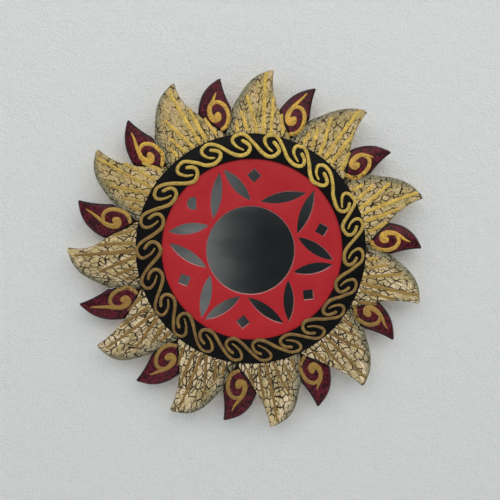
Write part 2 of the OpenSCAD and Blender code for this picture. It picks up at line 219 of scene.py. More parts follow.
def finish_mesh(mesh, name, body="frame", sharp=40):
    """Makes an object of a bmesh, smooth but for edges sharper than an angle in degrees."""
    bmesh.ops.recalc_face_normals(mesh, faces=mesh.faces)
    for face in mesh.faces:
        face.smooth = True
    for edge in mesh.edges:
        edge.smooth = len(edge.link_faces) == 2 and edge.calc_face_angle() < math.radians(sharp)
    data = bpy.data.meshes.new(name)
    mesh.to_mesh(data)
    piece = bpy.data.objects.new(name, data)
    bpy.context.scene.collection.objects.link(piece)
    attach(piece, body)
    return piece


def sanded_copy(node, name, radius):
    """A copy of a CAD node with its triangles joined and its sharp edges rounded."""
    mesh = bmesh.new()
    mesh.from_mesh(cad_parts[node].data)
    bmesh.ops.remove_doubles(mesh, verts=mesh.verts, dist=0.001 * MM)
    bmesh.ops.dissolve_limit(mesh, angle_limit=math.radians(1), verts=mesh.verts, edges=mesh.edges)
    sharp = [edge for edge in mesh.edges if edge.calc_face_angle(0) > math.radians(50)]
    bmesh.ops.bevel(mesh, geom=sharp, offset=radius * MM, offset_type="OFFSET", segments=3,
                    affect="EDGES", profile=0.5, material=-1, clamp_overlap=True)
    bmesh.ops.remove_doubles(mesh, verts=mesh.verts, dist=0.001 * MM)
    piece = finish_mesh(mesh, name)
    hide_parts(node)
    return piece


def start_group(name, inputs, outputs):
    """A shader group with number and vector sockets: the group, its start and its end."""
    group = bpy.data.node_groups.new(name, "ShaderNodeTree")
    for socket in inputs:
        kind = "NodeSocketVector" if socket == "Place" else "NodeSocketFloat"
        group.interface.new_socket(socket, in_out="INPUT", socket_type=kind)
    for socket in outputs:
        group.interface.new_socket(socket, in_out="OUTPUT", socket_type="NodeSocketFloat")
    start = group.nodes.new("NodeGroupInput").outputs
    end = group.nodes.new("NodeGroupOutput").inputs
    return group, start, end


def brush_marks():
    """Shader group: faint strokes of a brush on a painted face, and dust, each from 0 to 1."""
    group, start, end = start_group("brush_marks", ("Place",), ("Marks", "Dust"))
    wavy = cloudy(group, start["Place"], 0.02, 1.0)
    warped = add_node(group, "VectorMath", operation="MULTIPLY_ADD")
    feed(group, warped.inputs[0], wavy)
    feed(group, warped.inputs[1], Vector((9.0, 0.0, 9.0)))
    feed(group, warped.inputs[2], start["Place"])
    streaks = cloudy(group, stretched(group, warped.outputs[0], 0.06, 0.5, 1.3), 1.0, 4.0, 0.55)
    feed(group, end["Marks"], streaks)
    specks = cloudy(group, start["Place"], 1.4, 2.0)
    feed(group, end["Dust"], soft_step(group, specks, 0.68, 0.78))
    return group


BRUSH = brush_marks()
black_paint, tree, shader, place = start_material("black_paint")
brush = add_node(tree, "Group", node_tree=BRUSH)
feed(tree, brush.inputs["Place"], place)
marks = brush.outputs["Marks"]
black_tone = mix_colours(tree, marks, (0.03, 0.03, 0.035), (0.065, 0.065, 0.075))
black_tone = tinted(tree, black_tone, brush.outputs["Dust"], 0.25, (0.36, 0.34, 0.32))
feed(tree, shader.inputs["Base Color"], black_tone)
feed(tree, shader.inputs["Roughness"], soft_step(tree, marks, 0.2, 0.8, 0.34, 0.5))
shader.inputs["Specular IOR Level"].default_value = 0.14
relief(tree, shader, marks, 0.06 * MM)
black_band = sanded_copy("band_ring", "black_band", 0.35)
give_material(black_band, black_paint)

# The mirror: one round of 3 mm float glass, silvered behind. It lies in the band's step,
# between the backboard and the red panel.
mirror, tree, shader, place = start_material("mirror")
film = cloudy(tree, place, 0.05, 3.0)
feed(tree, shader.inputs["Base Color"],
     mix_colours(tree, film, (0.90, 0.92, 0.91), (0.86, 0.89, 0.88)))
feed(tree, shader.inputs["Roughness"], soft_step(tree, film, 0.4, 0.8, 0.015, 0.05))
shader.inputs["Metallic"].default_value = 1.0
give_material(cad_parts["mirror_glass"], mirror)

# The red panel: thin board, sawn through by hand in a star of leaf-shaped and small cuts
# round a window. It is painted satin red, and its sawn edges are paler where paint is thin.
red_paint, tree, shader, place = start_material("red_paint")
brush = add_node(tree, "Group", node_tree=BRUSH)
feed(tree, brush.inputs["Place"], place)
patches = cloudy(tree, place, 0.04, 2.0)
marks = brush.outputs["Marks"]
red_tone = mix_colours(tree, patches, (0.69, 0.08, 0.13), (0.73, 0.12, 0.15))
red_tone = tinted(tree, red_tone, marks, 0.5, (0.76, 0.17, 0.19))
worn = soft_step(tree, cloudy(tree, place, 0.7, 3.0), 0.3, 0.6, 0.35, 0.9)
red_tone = tinted(tree, red_tone, cut_face(tree), worn, (0.88, 0.60, 0.60))
feed(tree, shader.inputs["Base Color"], red_tone)
feed(tree, shader.inputs["Roughness"], soft_step(tree, marks, 0.2, 0.8, 0.4, 0.55))
shader.inputs["Specular IOR Level"].default_value = 0.3
relief(tree, shader, marks, 0.05 * MM)
red_panel = sanded_copy("fret_panel", "red_panel", 0.2)
give_material(red_panel, red_paint)

# The gold rays: carved wood, crowned along a ridge and rounded at the free edges. They are
# painted dark brown and then cream, with a crackle medium that tears the cream into islands.
# The plan is in millimetres, x to the right and y up, and angles are from the right.
PAIRS = 11
PITCH = 360 / PAIRS
FIRST_GOLD = 82
BURGUNDY_LEAD = 0.538 * PITCH
SEAM = 0.3
BAND_R = 80
REAR = -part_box("gold_ray_01")[1].y / MM
GOLD_REACH, GOLD_TIP_W, GOLD_T = BAND_R + 45.9, 2.6, 8
GOLD_BACK_RISE, GOLD_BACK_LEAN, GOLD_FRONT_RISE = 5.6, 0.4, 2
BURGUNDY_REACH, BURGUNDY_TIP_W, BURGUNDY_T = BAND_R + 41.5, 1.6, 7.5
BURGUNDY_BACK_RISE, BURGUNDY_FRONT_RISE, FOOT_RISE = 4.4, 0.8, 0.8
FOOT_R, FOOT_SIDE = BAND_R + 2.9, 2.9
BELLY_R, BELLY_SLANT = BAND_R + 20.8, 1.8
BELLY_BACK_W, BELLY_FRONT_W, WIDENING = 18.8, 4.4, 0.7
GOLD_TURN = (1.3, 1, 0.4, -1.4, -1.4, -1.6, -1.8, -0.4, 0, 0.1, 0.9)
GOLD_EXTRA = (-1, -1, -0.6, -1.9, -1.5, 0, 0.8, 1.2, 1.8, 1.1, 0.7)
GOLD_BACK_EXTRA = (-0.7, -1.9, -0.7, 0.4, -0.8, 0.9, 1.6, 1.8, 0.3, 0.5, -0.6)
GOLD_FRONT_EXTRA = (0.4, 0, 0.4, -0.4, -0.6, -0.6, -0.6, -0.6, 1.4, 0.4, 1)
BURGUNDY_TURN = (1, 1.4, 0.7, -0.9, -1.1, -2.8, -2.1, -1.4, 0.2, -0.6, 1.5)
BURGUNDY_EXTRA = (-1.5, -1.6, -3, -2.2, -3, -1, 0.3, 0.7, 4.1, 3, 1.9)
BURGUNDY_BACK_EXTRA = (0.1, -0.8, -0.6, 0.3, -0.9, 0, 0.8, 0.4, 0.4, 0.6, -0.5)
BELLY_EXTRA = (0.3, -1.8, -2.4, -1.8, -2.8, -0.6, 1.4, 1, 0.6, 2, 0)
BELLY_FRONT_EXTRA = (-2, 0.5, 0.3, -0.6, 0, 1, -0.8, 0, 2.5, -1.6, 2.5)


def polar(angle, radius):
    return radius * Vector((math.cos(math.radians(angle)), math.sin(math.radians(angle))))


def gold_angle(i):
    return FIRST_GOLD - PITCH * i + GOLD_TURN[i % PAIRS]


def burgundy_angle(i):
    return FIRST_GOLD - PITCH * i + BURGUNDY_LEAD + BURGUNDY_TURN[i % PAIRS]


def from_ray(angle, side, radius):
    """A point by its distance to the rounded side of a ray's tip line, and its radius."""
    return polar(angle, radius) + polar(angle + 90, side)


def bow(start, end, rise, lean=0.0, steps=12):
    """Points along a bow that rises to the right of the way, fuller near its end with a lean."""
    way = (end - start).normalized()
    right = Vector((way.y, -way.x))
    shares = [k / steps for k in range(steps + 1)]
    return [start.lerp(end, t) + 4 * rise * t * (1 - t) * (1 - lean * (1 - 2 * t)) * right
            for t in shares]


def burgundy_corner(i, name, side=0):
    """The tip, back, front or foot corner of a burgundy ray in the plan."""
    belly = BELLY_EXTRA[i % PAIRS]
    side, radius = {
        "tip": (side * BURGUNDY_TIP_W / 2, BURGUNDY_REACH + BURGUNDY_EXTRA[i % PAIRS]),
        "back": (BELLY_BACK_W + WIDENING * belly, BELLY_R - BELLY_SLANT + belly),
        "front": (-BELLY_FRONT_W, BELLY_R + belly + BELLY_FRONT_EXTRA[i % PAIRS]),
        "foot": (FOOT_SIDE, FOOT_R),
    }[name]
    return from_ray(burgundy_angle(i), side, radius)


def moved_out(points, gap):
    """Points of a line moved to its left by a gap."""
    ways = [(points[min(k + 1, len(points) - 1)] - points[max(k - 1, 0)]).normalized()
            for k in range(len(points))]
    return [p + gap * Vector((-way.y, way.x)) for p, way in zip(points, ways)]


def seam_angle(i):
    return burgundy_angle(i) + math.degrees(math.atan(FOOT_SIDE / FOOT_R))


def gold_sides(i):
    """The front and the back side of a gold ray, each from the band to the tip."""
    gap = math.degrees(math.atan(SEAM / 2 / BAND_R))
    radius = BAND_R + SEAM
    tip_r = GOLD_REACH + GOLD_EXTRA[i]
    tip_front = from_ray(gold_angle(i), -GOLD_TIP_W / 2, tip_r)
    tip_back = from_ray(gold_angle(i), GOLD_TIP_W / 2, tip_r)
    wedge = bow(burgundy_corner(i + 1, "foot"), burgundy_corner(i + 1, "back"), -FOOT_RISE)
    under = moved_out(wedge, SEAM)[:-1]
    front = [polar(seam_angle(i + 1) + gap, radius)] + under
    front += bow(under[-1], tip_front, -GOLD_FRONT_RISE - GOLD_FRONT_EXTRA[i])[1:]
    wedge = bow(burgundy_corner(i, "foot"), burgundy_corner(i, "front"), FOOT_RISE)
    over = moved_out(wedge, -SEAM)[:-1]
    back = [polar(seam_angle(i) - gap, radius)] + over
    back += bow(over[-1], tip_back, -GOLD_BACK_RISE - GOLD_BACK_EXTRA[i], GOLD_BACK_LEAN)[1:]
    return front, back


def along(path, share):
    """The point at a share of a path's length."""
    lengths = [(b - a).length for a, b in zip(path, path[1:])]
    left = share * sum(lengths)
    for a, b, length in zip(path, path[1:], lengths):
        if left <= length or b is path[-1]:
            return a.lerp(b, min(1.0, left / length))
        left -= length


def rounded_drop(nearness, radius):
    """How far a rounded edge has dropped, where the nearness goes from 0 to 1 at the edge."""
    return radius * (1 - math.sqrt(1 - min(1.0, nearness) ** 2))


# Shares of an edge's rounding at which its points lie, and how fine a ray's sheet is
EDGE_STEPS = (0.0, 0.04, 0.14, 0.3, 0.52, 0.78)
ROWS, MIDDLE_COLUMNS = 34, 12
# The ridge lies this deep below the ray's full thickness, and falls by so many degrees outwards
CROWN_SINK, RIDGE_FALL = 0.35, 2
# The carved face is uneven by up to so many millimetres, in waves about 11 mm long
UNEVEN_BY, UNEVEN_SCALE = 0.16, 0.09
# A ray comes free this far before its notch, and its edges are fully rounded so much further on
FREE_BEFORE, FREE_RUN = 1, 5
# A rounding takes up to this share of the width
ROUNDED_SHARE = 0.45
# The share of a ray's length over which its foot is bent to the band's round edge
FITTED_SHARE = 0.4
# The way to a ray's tip counts as this share of itself, so that more paint is bare there
TIP_NEARNESS = 0.8
MAP_SHIFT = 60
TINY = 1e-6


def close_behind(mesh):
    """Closes a sheet with walls down to the rays' flat rear face."""
    open_edges = [edge for edge in mesh.edges if edge.is_boundary]
    walls = bmesh.ops.extrude_edge_only(mesh, edges=open_edges)["geom"]
    for vert in (v for v in walls if isinstance(v, bmesh.types.BMVert)):
        vert.co.y = -REAR * MM
    bmesh.ops.contextual_create(mesh, geom=[e for e in walls if isinstance(e, bmesh.types.BMEdge)])


def map_ray(mesh, angle, number):
    """A map in millimetres beside and along a ray's tip line, shifted so that no two rays of one
    paint show the same piece of the crackle."""
    ray_map = mesh.loops.layers.uv.new("ray")
    outward, sideways = polar(angle, 1), polar(angle + 90, 1)
    for face in mesh.faces:
        for loop in face.loops:
            place = Vector((loop.vert.co.x, loop.vert.co.z)) / MM
            loop[ray_map].uv = (place.dot(sideways) + MAP_SHIFT * number, place.dot(outward))


def carve_ray(number, sides, angle, roundings, base_r=None, **crown):
    """A ray as a sheet between its two sides, crowned, rounded and closed down to its rear.
    Roundings are the radii at its front side, back side, glued sides and tip."""
    front_side, back_side = sides
    round_front, round_back, round_glued, round_tip = roundings
    length = sum((b - a).length for a, b in zip(back_side, back_side[1:]))
    rows = [s * round_glued / length for s in EDGE_STEPS]
    rows += [k / ROWS for k in range(1, ROWS - 1)]
    rows += [1 - s * round_tip / length for s in reversed(EDGE_STEPS)]
    columns = 2 * len(EDGE_STEPS) + MIDDLE_COLUMNS - 1
    mesh = bmesh.new()
    bmesh.ops.create_grid(mesh, x_segments=columns, y_segments=len(rows) - 1, size=1)
    rim_layer = mesh.verts.layers.float.new("rim")
    side_layer = mesh.verts.layers.float.new("rounded_side")
    free_r = BELLY_R + BELLY_EXTRA[number % PAIRS] - FREE_BEFORE
    ridge_start = from_ray(angle, crown["ridge"][0], crown["start_r"])
    ridge_end = from_ray(angle, crown["ridge"][1], crown["end_r"])
    ridge_way = (ridge_end - ridge_start).normalized()
    fall = math.tan(math.radians(RIDGE_FALL))
    for vert in mesh.verts:
        column = round((vert.co.x + 1) / 2 * columns)
        row = round((vert.co.y + 1) / 2 * (len(rows) - 1))
        share = rows[row]
        a, b = along(front_side, share), along(back_side, share)
        width = (b - a).length
        free = min(1.0, max(0.0, (a.length + b.length) / 2 - free_r) / FREE_RUN)
        radii = [min(ROUNDED_SHARE * width, round_glued + free * (r - round_glued))
                 for r in (round_front, round_back)]
        if column < len(EDGE_STEPS):
            across = EDGE_STEPS[column] * radii[0]
        elif column > columns - len(EDGE_STEPS):
            across = width - EDGE_STEPS[columns - column] * radii[1]
        else:
            t = (column - len(EDGE_STEPS) + 1) / (MIDDLE_COLUMNS + 1)
            across = radii[0] + t * (width - radii[0] - radii[1])
        place = a.lerp(b, across / width) if width > 0 else a.copy()
        if base_r and share < FITTED_SHARE:
            push = (base_r - place.length) * (1 - share / FITTED_SHARE) ** 2
            if row == 0 or push > 0:
                place += push * place.normalized()
        near_side = max(0.0, 1 - across / max(radii[0], TINY),
                        1 - (width - across) / max(radii[1], TINY))
        side_radius = radii[0] if across < width / 2 else radii[1]
        near_end = max(0.0, 1 - share * length / round_glued, 1 - (1 - share) * length / round_tip)
        out = place - ridge_start
        beside = abs(out.x * ridge_way.y - out.y * ridge_way.x)
        depth = REAR + crown["thick"] - CROWN_SINK - fall * out.dot(ridge_way)
        depth -= crown["radius"] - math.sqrt(crown["radius"] ** 2 - beside ** 2)
        depth -= rounded_drop(math.hypot(near_side, near_end), max(side_radius, round_glued))
        wave = Vector((place.x * UNEVEN_SCALE, place.y * UNEVEN_SCALE, number))
        depth += UNEVEN_BY * noise.noise(wave)
        vert.co = Vector((place.x, -depth, place.y)) * MM
        vert[rim_layer] = min(across, width - across, (1 - share) * length * TIP_NEARNESS)
        vert[side_layer] = across / width if width > 0 else 0.5
    bmesh.ops.remove_doubles(mesh, verts=mesh.verts, dist=0.002 * MM)
    close_behind(mesh)
    map_ray(mesh, angle, number)
    return mesh


def crackle_group():
    """Shader group: paint torn into islands of a size in millimetres. Crack is 1 in the gaps
    and Island is a random number for each island. A share of the gaps is closed up."""
    group, start, end = start_group("crackle", ("Place", "Size", "Gap", "Closed"),
                                    ("Crack", "Island"))
    scaled = add_node(group, "VectorMath", operation="DIVIDE")
    feed(group, scaled.inputs[0], start["Place"])
    feed(group, scaled.inputs[1], start["Size"])
    scaled = scaled.outputs[0]
    jagged = add_node(group, "TexNoise", {"Vector": scaled, "Scale": 1.7, "Detail": 2.0})
    shifted = add_node(group, "VectorMath", operation="MULTIPLY_ADD")
    feed(group, shifted.inputs[0], jagged.outputs["Color"])
    feed(group, shifted.inputs[1], Vector((0.4, 0.4, 0.4)))
    feed(group, shifted.inputs[2], scaled)
    edges = add_node(group, "TexVoronoi", {"Vector": shifted.outputs[0], "Scale": 1.0},
                     voronoi_dimensions="2D", feature="DISTANCE_TO_EDGE")
    cells = add_node(group, "TexVoronoi", {"Vector": shifted.outputs[0], "Scale": 1.0},
                     voronoi_dimensions="2D")
    held = maths(group, "SUBTRACT", cloudy(group, scaled, 0.8, 3.0, 0.6), start["Closed"])
    opening = soft_step(group, held, -0.02, 0.16, 0.0, 1.0)
    gap = maths(group, "MULTIPLY", maths(group, "DIVIDE", start["Gap"], start["Size"]), opening)
    gap = maths(group, "MAXIMUM", gap, 0.0001)
    crack = soft_step(group, edges.outputs["Distance"], gap,
                      maths(group, "MULTIPLY", gap, 0.35))
    feed(group, end["Crack"], crack)
    island = add_node(group, "SeparateColor", {"Color": cells.outputs["Color"]})
    feed(group, end["Island"], island.outputs["Red"])
    return group


CRACKLE = crackle_group()


def ray_place(tree, object_place):
    """Places on a ray in millimetres, beside its tip line, outwards and in depth, and the
    distance outwards by itself."""
    uv = add_node(tree, "SeparateXYZ", {"Vector": add_node(tree, "UVMap", uv_map="ray").outputs[0]})
    depth = add_node(tree, "SeparateXYZ", {"Vector": object_place}).outputs["Y"]
    joined = add_node(tree, "CombineXYZ", {"X": uv.outputs["X"], "Y": uv.outputs["Y"], "Z": depth})
    return joined.outputs[0], uv.outputs["Y"]


def crackled(tree, place, size, gap, closed):
    node = add_node(tree, "Group", node_tree=CRACKLE)
    for name, value in (("Place", place), ("Size", size), ("Gap", gap), ("Closed", closed)):
        feed(tree, node.inputs[name], value)
    return node.outputs["Crack"], node.outputs["Island"]


def attribute(tree, name):
    return add_node(tree, "Attribute", attribute_name=name).outputs["Fac"]


FAR_FROM_EDGE = 9.0


def rim_and_side(tree):
    """Distance to a ray's edge in millimetres, and 1 at its rounded side, 0 at the other. The
    rear face counts as far from the edge and from the rounded side."""
    normal = add_node(tree, "SeparateXYZ", {"Vector": add_node(tree, "TexCoord").outputs["Normal"]})
    rear = soft_step(tree, normal.outputs["Y"], 0.5, 0.9)
    far = maths(tree, "MULTIPLY", rear, FAR_FROM_EDGE)
    rim = maths(tree, "MAXIMUM", attribute(tree, "rim"), far)
    front = maths(tree, "SUBTRACT", 1.0, rear)
    return rim, maths(tree, "MULTIPLY", attribute(tree, "rounded_side"), front)


cream_paint, tree, shader, object_place = start_material("cream_crackle")
place, outward = ray_place(tree, object_place)
rim, rounded_side = rim_and_side(tree)
to_back = soft_step(tree, rounded_side, 0.5, 0.9)
to_tip = soft_step(tree, outward, BAND_R + 15, BAND_R + 42)
at_band = soft_step(tree, outward, BAND_R + 10, BAND_R + 2, 0.0, 0.08)
height = add_node(tree, "SeparateXYZ", {"Vector": object_place}).outputs["Z"]
lower = soft_step(tree, height, 60, -60)
# The paint holds together better at the tip and the rounded side, worse below and at the band
held_paint = maths(tree, "SUBTRACT", maths(tree, "MULTIPLY", to_tip, 0.05),
                   maths(tree, "MULTIPLY", lower, 0.08))
held_paint = maths(tree, "SUBTRACT", held_paint, at_band)
held_paint = maths(tree, "ADD", held_paint, maths(tree, "MULTIPLY", to_back, 0.05))
bricks = stretched(tree, place, 1.0, 0.62, 1.0)
held = maths(tree, "ADD", held_paint, 0.42)
crack, island = crackled(tree, bricks, size=3.5, gap=0.42, closed=held)
rifts = stretched(tree, place, 1.0, 0.48, 1.0)
held = maths(tree, "ADD", held_paint, 0.52)
rift, _ = crackled(tree, rifts, size=6.2, gap=0.56, closed=held)
threads = stretched(tree, place, 1.0, 0.42, 1.0)
held = soft_step(tree, to_back, 0.0, 1.0, 0.47, 0.3)
hair_crack, chip = crackled(tree, threads, size=1.7, gap=0.22, closed=held)
tan_cream = mix_colours(tree, island, (0.88, 0.765, 0.555), (0.81, 0.71, 0.43))
pale_cream = mix_colours(tree, island, (0.98, 0.895, 0.745), (0.86, 0.77, 0.56))
cream = mix_colours(tree, lower, tan_cream, pale_cream)
pale_chips = soft_step(tree, chip, 0.65, 1.0, 0.0, 0.5)
cream = mix_colours(tree, pale_chips, cream, (0.88, 0.80, 0.68))
wash = cloudy(tree, stretched(tree, place, 0.2, 0.06, 0.2), 1.0, 4.0)
wash = soft_step(tree, wash, 0.42, 0.66, 0.0, 0.65)
cream = mix_colours(tree, wash, cream, (0.64, 0.57, 0.34))
grime = soft_step(tree, cloudy(tree, place, 0.8, 4.0, 0.65), 0.45, 0.72)
cream = tinted(tree, cream, grime, 0.4, (0.48, 0.40, 0.25))
green_edge = maths(tree, "MULTIPLY", to_back, soft_step(tree, rim, 7.0, 1.5, 0.0, 0.85))
cream = mix_colours(tree, green_edge, cream, (0.52, 0.53, 0.44))
cream = tinted(tree, cream, hair_crack, 0.75, (0.33, 0.24, 0.14))
bare_edge = soft_step(tree, rim, 0.6, 0.1, 0.0, 0.8)
bare = maths(tree, "MAXIMUM", maths(tree, "MAXIMUM", crack, rift), bare_edge)
feed(tree, shader.inputs["Base Color"], tinted(tree, cream, bare, 0.97, (0.07, 0.03, 0.015)))
shader.inputs["Specular IOR Level"].default_value = 0.25
feed(tree, shader.inputs["Roughness"], soft_step(tree, bare, 0.0, 1.0, 0.5, 0.75))
torn = maths(tree, "MAXIMUM", bare, maths(tree, "MULTIPLY", hair_crack, 0.4))
relief(tree, shader, maths(tree, "SUBTRACT", maths(tree, "MULTIPLY", island, 0.2), torn), 0.3 * MM)

GOLD_ROUNDINGS = (1.2, 2.8, 0.5, 0.8)
# How far the ridge lies to the rounded side of the tip line, at its start and at its end
GOLD_RIDGE, GOLD_CROWN_R = (3, 1), 110
carved = {}
for i in range(PAIRS):
    name = f"gold_ray_{i + 1:02d}"
    carved[name] = carve_ray(
        i, gold_sides(i), gold_angle(i), GOLD_ROUNDINGS, base_r=BAND_R + SEAM,
        ridge=GOLD_RIDGE, start_r=BAND_R, end_r=GOLD_REACH, thick=GOLD_T, radius=GOLD_CROWN_R)
    ray = finish_mesh(carved[name], f"cream_ray_{i + 1:02d}")
    give_material(ray, cream_paint)
    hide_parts(name)

# The burgundy rays: smaller carved rays, wedged between the gold ones. Their dark paint is
# veined with crimson, and near black shows bare along the edges and at the tips.


def burgundy_sides(i):
    """The front and the back side of a burgundy ray, each from its foot to its tip."""
    front = bow(burgundy_corner(i, "foot"), burgundy_corner(i, "front"), FOOT_RISE)
    front += bow(burgundy_corner(i, "front"), burgundy_corner(i, "tip", -1),
                 -BURGUNDY_FRONT_RISE)[1:]
    back = bow(burgundy_corner(i, "foot"), burgundy_corner(i, "back"), -FOOT_RISE)
    back += bow(burgundy_corner(i, "back"), burgundy_corner(i, "tip", 1),
                -(BURGUNDY_BACK_RISE + BURGUNDY_BACK_EXTRA[i]))[1:]
    return front, back


burgundy_paint, tree, shader, object_place = start_material("burgundy_crackle")
place, _ = ray_place(tree, object_place)
rim, _ = rim_and_side(tree)
crack, island = crackled(tree, place, size=3.3, gap=0.34, closed=0.34)
redder = soft_step(tree, island, 0.3, 1.0)
burgundy = mix_colours(tree, redder, (0.26, 0.05, 0.09), (0.36, 0.07, 0.125))
burgundy = tinted(tree, burgundy, crack, 0.7, (0.56, 0.15, 0.24))
bare = soft_step(tree, cloudy(tree, place, 0.28, 3.0), 0.5, 0.62)
bare = maths(tree, "MAXIMUM", maths(tree, "MULTIPLY", bare, 0.75), soft_step(tree, rim, 1.8, 0.9))
feed(tree, shader.inputs["Base Color"],
     mix_colours(tree, bare, burgundy, (0.12, 0.055, 0.07)))
feed(tree, shader.inputs["Roughness"], soft_step(tree, island, 0.0, 1.0, 0.28, 0.42))
shader.inputs["Specular IOR Level"].default_value = 0.28
relief(tree, shader, maths(tree, "SUBTRACT", maths(tree, "MULTIPLY", island, 0.3), crack), 0.18 * MM)

BURGUNDY_ROUNDINGS = (1.4, 2.2, 0.7, 0.8)
BURGUNDY_RIDGE, BURGUNDY_CROWN_R = (5.5, 2), 34
for i in range(PAIRS):
    name = f"burgundy_ray_{i + 1:02d}"
    carved[name] = carve_ray(
        i, burgundy_sides(i), burgundy_angle(i), BURGUNDY_ROUNDINGS, ridge=BURGUNDY_RIDGE,
        start_r=FOOT_R, end_r=BURGUNDY_REACH, thick=BURGUNDY_T, radius=BURGUNDY_CROWN_R)
    ray = finish_mesh(carved[name], f"maroon_ray_{i + 1:02d}")
    give_material(ray, burgundy_paint)
    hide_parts(name)

# The gold paint: thick ochre outline paint, squeezed from a cone in one stroke at a time. It
# stands up in a bead on the black band and lies flatter on the rays.
ground = {}
for name, mesh in carved.items():
    ground[name] = BVHTree.FromBMesh(mesh)
for piece in (black_band, red_panel):
    mesh = bmesh.new()
    mesh.from_mesh(piece.data)
    ground[piece.name] = BVHTree.FromBMesh(mesh)
    mesh.free()


def ground_depth(place, names):
    """Distance of the foremost of some surfaces from the wall, at a point of the plan, or of
    the surface closest to it where it lies over a seam."""
    start = Vector((place.x * MM, -1.0, place.y * MM))
    hits = [ground[name].ray_cast(start, Vector((0, 1, 0)))[0] for name in names]
    hits = [hit for hit in hits if hit is not None]
    if not hits:
        over = Vector((place.x * MM, -FRONT["band_ring"] * MM, place.y * MM))
        nearest = min((ground[name].find_nearest(over) for name in names), key=lambda near: near[3])
        hits = [nearest[0]]
    return max(-hit.y / MM for hit in hits)


dice = random.Random(7)


def drawn_finely(stroke, spacing, tremble):
    """A stroke with more knots, each a little wider or narrower, as an unsteady hand draws."""
    fine = []
    for (start, half_a), (end, half_b) in zip(stroke, stroke[1:]):
        count = max(1, round((end - start).length / spacing))
        for n in range(count):
            half = half_a + (half_b - half_a) * n / count
            fine.append((start.lerp(end, n / count), half * dice.uniform(1 - tremble, 1 + tremble)))
    return fine + [stroke[-1]]


# A stroke's end as (how far past its last knot, width), both as shares of its half width
END_ROUNDING = ((0.5, 0.87), (0.85, 0.53), (1.0, 0.15))


def round_ended(stroke):
    """A stroke with a half-round end added at each end."""
    ends = []
    for (tip, half), (inner, _) in ((stroke[0], stroke[1]), (stroke[-1], stroke[-2])):
        way = (tip - inner).normalized()
        ends.append([(tip + reach * half * way, width * half) for reach, width in END_ROUNDING])
    return ends[0][::-1] + stroke + ends[1]


BOX_FRONT = -cad_box[0][1] / MM
# Points of a bead with more crest than this are its face, and the others sink this deep
UNDERSIDE_CREST, PAINT_ROOT = 0.05, 0.2


def lay_paint(name, strokes, height, names, level=None, rich=0.0):
    """Beads of paint along strokes, each a list of (point, half width). A bead rises from the
    surfaces named, or from a level where they lie lower, and never past the part's front. Its
    underside sinks into them. Richer paint is brighter and more orange."""
    curve = bpy.data.curves.new(name, "CURVE")
    curve.dimensions = "3D"
    curve.twist_mode = "Z_UP"
    curve.bevel_depth = 1.0
    curve.bevel_resolution = 2
    curve.use_fill_caps = True
    for stroke in strokes:
        spline = curve.splines.new("BEZIER")
        spline.resolution_u = 5
        knots = round_ended(stroke)
        spline.bezier_points.add(len(knots) - 1)
        for knot, (point, half_width) in zip(spline.bezier_points, knots):
            knot.co = (point.x, point.y, 0)
            knot.radius = half_width
            knot.handle_left_type = knot.handle_right_type = "AUTO"
    drawn = bpy.data.objects.new(name, curve)
    bpy.context.scene.collection.objects.link(drawn)
    depsgraph = bpy.context.evaluated_depsgraph_get()
    data = bpy.data.meshes.new_from_object(drawn.evaluated_get(depsgraph))
    bpy.data.objects.remove(drawn)
    mesh = bmesh.new()
    mesh.from_mesh(data)
    mesh.normal_update()
    crest_layer = mesh.verts.layers.float.new("crest")
    rich_layer = mesh.verts.layers.float.new("rich")
    crests = [vert.normal.z for vert in mesh.verts]
    for vert, crest in zip(mesh.verts, crests):
        place = Vector((vert.co.x, vert.co.y))
        ground_here = ground_depth(place, names)
        vert[crest_layer] = max(0.0, crest)
        vert[rich_layer] = rich
        if crest > UNDERSIDE_CREST:
            base = ground_here if level is None else max(ground_here, level)
            depth = base + min(height, BOX_FRONT - base) * (1 - (1 - crest) ** 2)
        else:
            depth = ground_here - PAINT_ROOT
        vert.co = Vector((place.x, -depth, place.y)) * MM
    bmesh.ops.remove_doubles(mesh, verts=mesh.verts, dist=0.002 * MM)
    piece = finish_mesh(mesh, name, sharp=75)
    give_material(piece, gold_paint)


gold_paint, tree, shader, place = start_material("gold_paint")
crest = attribute(tree, "crest")
spot = add_node(tree, "SeparateXYZ", {"Vector": place}).outputs
# Painted light: the paint is painted bright at the top and a little to the right, where the lamps'
# sheen falls, and painted dull at the bottom
upwards = maths(tree, "ADD", maths(tree, "MULTIPLY", spot["X"], 0.26),
                maths(tree, "MULTIPLY", spot["Z"], 0.97))
rich = attribute(tree, "rich")
painted_light_and_rich = maths(tree, "ADD", soft_step(tree, upwards, -42, 92), rich)
painted_light_and_rich = soft_step(tree, painted_light_and_rich, 0.0, 1.0)
orange = soft_step(tree, rich, 0.0, 0.36)
lit_gold = mix_colours(tree, orange, (0.94, 0.81, 0.37), (0.92, 0.715, 0.27))
thick = cloudy(tree, place, 0.3, 3.0)
# The dull gold is painted shade at the bottom, and the bright gold a painted highlight at the top
gold_tone = mix_colours(tree, painted_light_and_rich, (0.52, 0.395, 0.21), lit_gold)
even = soft_step(tree, thick, 0.4, 0.65, 0.0, 0.5)
gold_tone = mix_colours(tree, even, gold_tone, (0.72, 0.58, 0.28))
mottle = soft_step(tree, cloudy(tree, place, 0.9, 4.0, 0.65), 0.46, 0.66)
gold_tone = tinted(tree, gold_tone, mottle, 0.6, (0.42, 0.33, 0.19))
# The bead is darker at its edges, where it meets the surface under it
darker_bead_edge = soft_step(tree, crest, 0.35, 0.05, 0.0, 0.8)
gold_tone = mix_colours(tree, darker_bead_edge, gold_tone, (0.26, 0.20, 0.10))
feed(tree, shader.inputs["Base Color"], gold_tone)
feed(tree, shader.inputs["Roughness"], soft_step(tree, thick, 0.3, 0.7, 0.38, 0.55))
shader.inputs["Metallic"].default_value = 0.15
relief(tree, shader, cloudy(tree, place, 0.9, 4.0, 0.6), 0.35 * MM)

SCROLLS = 22
SCROLL_START = 285
